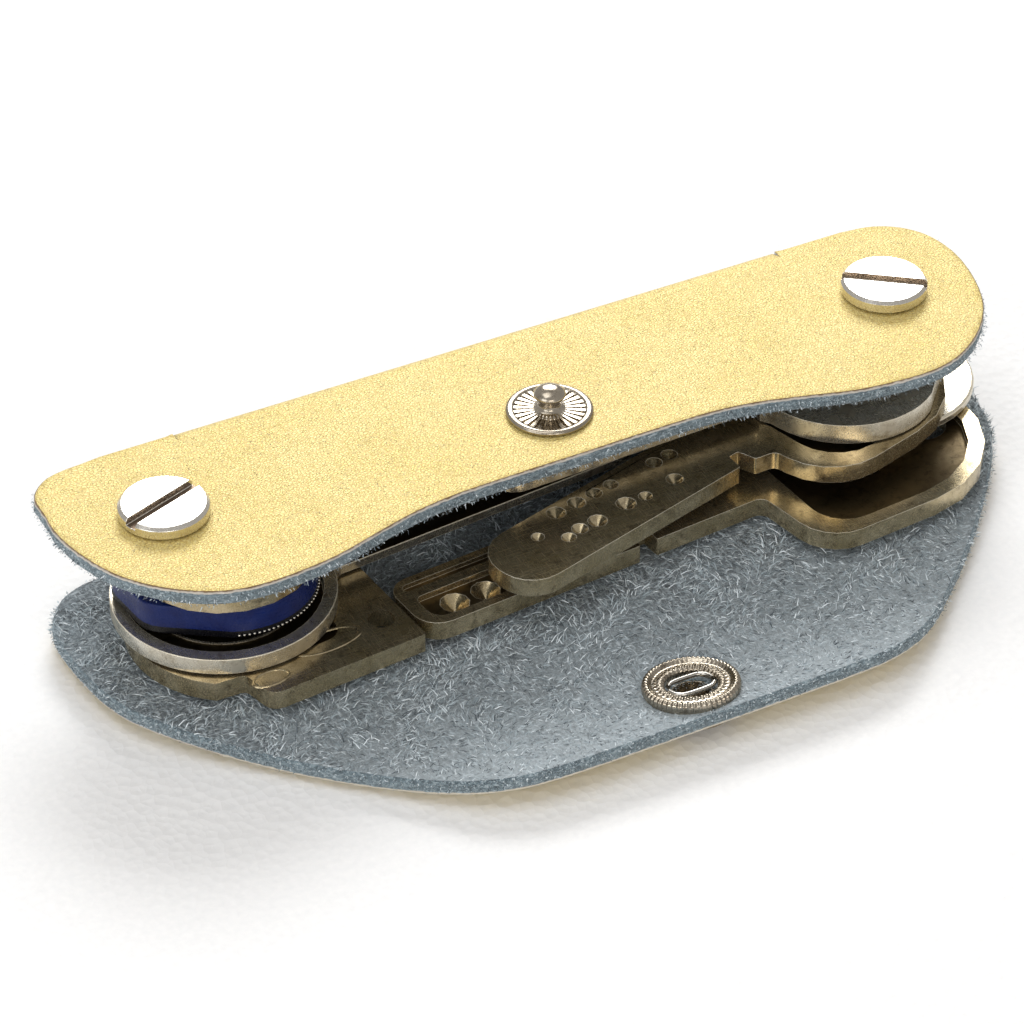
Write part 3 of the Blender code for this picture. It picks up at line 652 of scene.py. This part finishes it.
def strands(flat, ring, inward, seam, tri, source):
    """Loose fibres: on the suede face where it shows, and all round its edge."""
    per_mm2 = 8.0
    corners = flat[tri]
    area = 0.5 * np.abs(np.cross(corners[:, 1] - corners[:, 0], corners[:, 2] - corners[:, 0]))
    shown = corners[:, :, 1].mean(1) > q_of(9.0)
    share = area * shown
    count = int(share.sum() * per_mm2)
    pick = source.choice(len(tri), count, p=share / share.sum())
    mix = source.dirichlet((1, 1, 1), count)
    root = (corners[pick] * mix[:, :, None]).sum(1)
    swirl = 2.2 * np.sin(root[:, 0] * 0.35 + 1.3 * np.sin(root[:, 1] * 0.21))
    swirl += 1.8 * np.sin(root[:, 1] * 0.43 + 0.7 * np.cos(root[:, 0] * 0.3))
    heading = swirl + source.normal(0, 0.9, count)
    worn = np.clip((root[:, 1] - q_of(-20)) / 16, 0, 1)
    reach = source.uniform(0.40, 1.25, count) * (1.1 - 0.5 * worn)
    height = reach * source.uniform(0.10, 0.50, count) * (1.0 - 0.35 * worn)
    way = np.stack([np.cos(heading), np.sin(heading)], -1)
    place, normal = fold(root[:, 0], root[:, 1])
    tip_at, _ = fold(*(root + way * reach[:, None]).T)
    face = -normal
    foot = place + face * (THICK / 2 - 0.03)
    tip = tip_at + face * (THICK / 2 + height)[:, None]
    knee = (foot + tip) / 2 + face * (height * 0.35)[:, None]
    groups = [(foot, knee, tip)]
    slit = (np.abs(np.abs(flat[:, 0]) - notch) < 1.3) & (flat[:, 1] > 7) \
        & (flat[:, 1] < Q_BASE + 3)
    for index in ring:
        index = np.array([i for i in index if not seam[i] and not slit[i]])
        many = source.choice(index, len(index) * 18)
        layer = source.uniform(0.28, 1.0, len(many))
        xy = flat[many] + source.normal(0, 0.25, (len(many), 2)) * np.abs(inward[many][:, ::-1])
        spot, normal = fold(*xy.T)
        foot = spot + normal * (THICK * (0.5 - layer))[:, None]
        out_xy = xy - inward[many] * 0.5
        away = fold(*out_xy.T)[0] - spot
        away /= np.linalg.norm(away, axis=1)[:, None] + 1e-9
        lean = source.normal(0, 0.55, (len(many), 3))
        lean -= normal * (layer * 0.5)[:, None]
        run = (away + lean) * source.uniform(0.08, 0.28, len(many))[:, None]
        tip = foot + run
        knee = foot + run * 0.5 + source.normal(0, 0.05, (len(many), 3))
        groups.append((foot, knee, tip))
    foot, knee, tip = (np.vstack([g[k] for g in groups]) for k in range(3))
    keep = np.linalg.norm(tip - foot, axis=1) < 2.2
    foot, knee, tip = foot[keep], knee[keep], tip[keep]
    count = len(foot)
    along = tip - foot
    side = np.cross(along, source.normal(0, 1, (count, 3)) + (0, 0, 1.5))
    side /= np.linalg.norm(side, axis=1)[:, None] + 1e-9
    width = source.uniform(0.03, 0.065, count)[:, None]
    points = np.stack([foot - side * width, foot + side * width, knee - side * width * 0.8,
                       knee + side * width * 0.8, tip], 1).reshape(-1, 3)
    first = np.arange(count) * 5
    faces = [(a, a + 1, a + 3, a + 2) for a in first] + [(a + 2, a + 3, a + 4) for a in first]
    shade = source.normal(0.46, 0.38, count)
    shade = np.repeat(np.clip(shade, 0, 1), 5)
    plan = np.repeat(np.column_stack([foot[:, 0], foot[:, 1]]), 5, 0)
    return {"points": points, "faces": faces, "shade": shade, "plan": plan}


wrap_mesh = leather("wrap_leather", closed(wrap_half), q_of(SEAM_V),
                    [(-POST_X, 0, 2.0), (POST_X, 0, 2.0), (-POST_X, q_of(0), 2.3),
                     (POST_X, q_of(0), 2.3), (0, -2.8, 1.3)], 11)
wrap = placed("wrap_leather", wrap_mesh, [GOLD, SUEDE, EDGE, FIBRE], None)
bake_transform(wrap, "wrap", "flap_wall", start=(0, (POST_Y - 6.6) * MM, 2.3 * MM),
         end=(0, (POST_Y - 14.1) * MM, -1.5 * MM))
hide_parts("leather_wrap")

flap_mesh = leather("flap_leather", closed(flap_half), q_of(SEAM_V),
                    [(0, q_of(-33.6), 2.2)], 12)
flap = placed("flap_leather", flap_mesh, [GOLD, SUEDE, FLAP_EDGE_PAINTED_LIGHT, FIBRE], None)
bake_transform(flap, "flap_wall", "flap_tip", start=(0, (POST_Y - 20.6) * MM, 1.5 * MM),
         end=(0, (POST_Y - 29.6) * MM, 1.5 * MM))
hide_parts("flap_wall", "flap_tip")

# ---------------------------------------------------------------- keys
KEY_BODIES = {
    "key_lower_left": KEY, "key_dish_left": BRIGHT_KEY, "key_upper_left": KEY,
    "key_lower_right": KEY, "key_dimple_right": KEY, "key_thin_right": BRIGHT_KEY,
}
for node, look in KEY_BODIES.items():
    refine(node, node, look, 0.17, worn=WEAR_AND_EDGE_HIGHLIGHT, deep=GRIME_AND_PAINTED_SHADE)
refine("key_navy_left_head", "key_navy_left", NAVY, 0.25, angle=55)
refine("key_navy_left_blade", "key_navy_left", KEY, 0.1, worn=WEAR_AND_EDGE_HIGHLIGHT)


def around(x, v, turn, centre):
    """Plan place of a key's own point, from its post."""
    a = math.radians(turn)
    return (x + centre[0] * math.cos(a) - centre[1] * math.sin(a),
            v + centre[0] * math.sin(a) + centre[1] * math.cos(a))


def bead_row(name, centre, r, z, size, gap, start, end):
    """Small moulded beads round part of a circle."""
    shape = bmesh.new()
    count = int(math.radians(end - start) * r / gap)
    for k in range(count + 1):
        a = math.radians(start + (end - start) * k / count)
        spot = Vector((centre[0] + r * math.cos(a), POST_Y + centre[1] + r * math.sin(a), z))
        bmesh.ops.create_icosphere(shape, subdivisions=2, radius=size * MM,
                                   matrix=Matrix.Translation(spot * MM))
    mesh = bpy.data.meshes.new(name)
    shape.to_mesh(mesh)
    shape.free()
    mesh.shade_smooth()
    return mesh


head_centre = around(-POST_X, 0, 6.0, (5.96, -2.64))
placed("navy_head_beads", bead_row("navy_head_beads", head_centre, 9.03, 9.0, 0.17, 0.52,
                                   -110, 20), [STEEL], "key_navy_left")

dish_centre = around(-POST_X, 0, 5.0, (5.15, -2.31))
ring_rows = [(7.55, 7.10), (7.60, 7.26), (7.72, 7.30), (7.84, 7.26), (7.89, 7.10)]
placed("dish_ring", relief("dish_ring", 5, 96, dish_centre, lambda k, a: ring_rows[k],
                           False), [BRIGHT_KEY], "key_dish_left")

# plain raised marks on the short plate key: an oval and a long oval
Z_PLATE = 6.2
for name, centre, half in (("plate_oval", (-38.7, -15.1), (2.2, 1.2)),
                           ("plate_band", (-31.0, -12.3), (4.2, 1.7))):
    profile = [(0.80, -0.05), (0.84, 0.06), (0.90, 0.10), (0.96, 0.06), (1.0, -0.05)]

    def plate_mark(k, a, half=half):
        share, z = profile[k]
        r = 1 / math.hypot(math.cos(a - 0.08) / half[0], math.sin(a - 0.08) / half[1])
        return r * share, Z_PLATE + z

    placed(name, relief(name, 5, 64, (centre[0], centre[1]), plate_mark, False), [KEY],
           "key_lower_left")

# ---------------------------------------------------------------- posts
for side in ("left", "right"):
    refine("screw_" + side, "screw_" + side, NICKEL, 0.12, deep=SLOT_PAINTED_SHADE)
    refine("barrel_" + side, "wrap", NICKEL, 0.08)
    for level in ("lower", "upper"):
        refine(f"spacer_{side}_{level}", "wrap", NICKEL, 0.05)
refine("thin_washer_right", "wrap", BRIGHT_KEY, 0.12, worn=WEAR_AND_EDGE_HIGHLIGHT)
refine("fibre_washer_right", "wrap", BLACK, 0.08)

# ---------------------------------------------------------------- snap
RIM = 18.75                     # underside of the stud's flange
STUD_V, SOCKET_V = -2.8, -33.6
RAYS = 28
stud_rows = [(0.45, 3.07), (0.8, 2.99), (1.15, 2.84), (1.45, 2.62), (1.66, 2.40),
             (1.73, 2.22), (1.68, 2.05), (1.45, 1.88), (1.14, 1.74), (1.02, 1.55),
             (1.0, 1.2), (1.05, 0.85), (1.2, 0.62), (1.5, 0.46), (1.75, 0.40),
             (1.9, 0.37), (2.0, 0.36), (2.6, 0.34), (3.3, 0.33), (3.75, 0.33),
             (3.85, 0.36), (4.0, 0.44), (4.25, 0.46), (4.5, 0.40), (4.62, 0.28),
             (4.65, 0.12), (4.6, 0.0), (1.2, 0.0)]


def stud_shape(k, a):
    """Radius and height on a row, with the rays pressed into the flange."""
    r, z = stud_rows[k]
    if 15 <= k <= 19:
        wave = math.cos(RAYS * a)
        z -= 0.24 * min(1.0, max(0.0, (wave - 0.05) * 4))
    return r, RIM + z


placed("stud_starburst", relief("stud_starburst", len(stud_rows), RAYS * 12, (0, STUD_V),
                                stud_shape), [FITTING], "wrap", ["snap_stud"])
refine("snap_stud_rivet", "wrap", FITTING, 0.06)

BEADS = 56
FLOOR = 2.4
socket_rows = [(2.75, 0.05), (2.75, 0.7), (2.82, 0.92), (3.0, 1.08), (3.2, 1.15),
               (3.4, 1.13), (3.58, 1.02), (3.72, 0.92), (3.95, 0.90), (4.2, 0.95),
               (4.4, 1.12), (4.6, 1.26), (4.8, 1.28), (4.98, 1.16), (5.1, 1.0),
               (5.14, 0.8), (5.14, 0.5), (5.12, 0.3), (5.0, 0.08), (4.8, 0.0)]


def socket_shape(k, a):
    """Radius and height on a row, with the beads round the rim."""
    r, z = socket_rows[k]
    if 10 <= k <= 17:
        r -= 0.13 * (0.5 - 0.5 * math.cos(BEADS * a)) ** 0.7
        z -= 0.06 * (0.5 - 0.5 * math.cos(BEADS * a)) if k < 15 else 0
    if 2 <= k <= 6:
        z -= 0.12 * (0.5 - 0.5 * math.cos(36 * a))
    return r, FLOOR + z


# The fittings lean back with the leather that they are riveted to
LIFT = 0.85 * float(curl(SOCKET_V))
LEAN = 0.85 * math.atan(float(curl(SOCKET_V - 0.5) - curl(SOCKET_V + 0.5)))
PIVOT = Vector((0, (POST_Y + SOCKET_V) * MM, 1.5 * MM))
ON_FLAP = (Matrix.Translation(PIVOT + Vector((0, 0, LIFT * MM)))
           @ Matrix.Rotation(-LEAN, 4, "X") @ Matrix.Translation(-PIVOT))


def socket_ring():
    """The turned body of the socket, leaning with the flap."""
    mesh = relief("socket_beaded", len(socket_rows), BEADS * 8, (0, SOCKET_V),
                  socket_shape, False)
    mesh.transform(ON_FLAP)
    return mesh


placed("socket_beaded", socket_ring(), [FITTING], "flap_tip", ["snap_socket"])


def wire(name, side):
    """One strand of the socket's spring, with its ends hooked round."""
    line = [(-2.5, 0.1), (-2.35, -0.7), (-1.8, -1.3), (-0.9, -1.5), (0.9, -1.5),
            (1.7, -1.35), (2.2, -0.9)]
    curve = bpy.data.curves.new(name, "CURVE")
    curve.dimensions = "3D"
    curve.bevel_depth = 0.26 * MM
    curve.bevel_resolution = 4
    curve.use_fill_caps = True
    strand = curve.splines.new("POLY")
    path = spread(line, 0.15)
    strand.points.add(len(path) - 1)
    for point, (x, y) in zip(strand.points, path):
        point.co = (x * side * MM, (POST_Y + SOCKET_V + y * side) * MM,
                    (FLOOR + 0.72) * MM, 1)
    holder = bpy.data.objects.new(name, curve)
    scene.collection.objects.link(holder)
    bpy.context.view_layer.update()
    mesh = bpy.data.meshes.new_from_object(
        holder.evaluated_get(bpy.context.evaluated_depsgraph_get()))
    bpy.data.objects.remove(holder)
    mesh.transform(ON_FLAP)
    return mesh


for name, side in (("front", 1), ("back", -1)):
    placed("spring_wire_" + name, wire("spring_wire_" + name, side), [STEEL], "flap_tip",
           ["socket_spring_" + name])
refine("snap_cap", "flap_tip", FITTING, 0.06).data.transform(ON_FLAP)


# ---------------------------------------------------------------- stage
def floor_look():
    """A pale table top with a light texture."""
    look = Look("table", (0.92, 0.92, 0.92), 0.55, Specular_IOR_Level=0.3)
    at = look.where()
    grain = look.cells(at, 0.9)
    look.colour(look.ramp(look.noise(at, 1.2, 4), (0.3, (0.90, 0.905, 0.91)),
                          (0.7, (0.95, 0.95, 0.95))))
    look.bump((grain, 0.10))
    return look.mat


table_mesh = bpy.data.meshes.new("table")
table_mesh.from_pydata([(-2, -2, 0), (2, -2, 0), (2, 2, 0), (-2, 2, 0)], [], [(0, 1, 2, 3)])
table = bpy.data.objects.new("table", table_mesh)
table_mesh.materials.append(floor_look())
scene.collection.objects.link(table)

world = bpy.data.worlds.new("studio")
scene.world = world
world.use_nodes = True
world.node_tree.nodes["Background"].inputs["Color"].default_value = (1.0, 0.975, 0.95, 1)
world.node_tree.nodes["Background"].inputs["Strength"].default_value = 0.45


def softbox(name, place, target, size, power, colour=(1, 1, 1)):
    """One soft rectangular studio light."""
    light = bpy.data.lights.new(name, "AREA")
    light.shape = "RECTANGLE"
    light.size, light.size_y = size
    light.energy = power
    light.color = colour
    made = bpy.data.objects.new(name, light)
    made.location = place
    made.rotation_euler = (Vector(target) - Vector(place)).to_track_quat("-Z", "Y").to_euler()
    scene.collection.objects.link(made)


softbox("back", (0.40, 0.75, 0.62), (0, 0, 0.01), (0.55, 0.35), 6.6)
softbox("top", (-0.20, 0.05, 0.85), (0, 0, 0), (0.5, 0.5), 1.6)
softbox("left", (-0.75, -0.30, 0.40), (0, 0, 0), (0.5, 0.5), 1.6, (0.94, 0.97, 1.0))
softbox("front", (-0.25, -0.85, 0.50), (0, 0, 0), (0.5, 0.3), 1.8, (1.0, 0.95, 0.88))

camera = bpy.data.cameras.new("camera")
camera.lens = 149.35
camera.sensor_width = 36
eye = bpy.data.objects.new("camera", camera)
aim = Vector((-12.710, -5.544, 20.2)) * MM
back = Vector((0.37605, 0.70485, -0.60148)).normalized() * -0.430
eye.location = aim + back
eye.rotation_euler = (-back).to_track_quat("-Z", "Y").to_euler()
scene.collection.objects.link(eye)
scene.camera = eye
scene.view_settings.view_transform = "Standard"
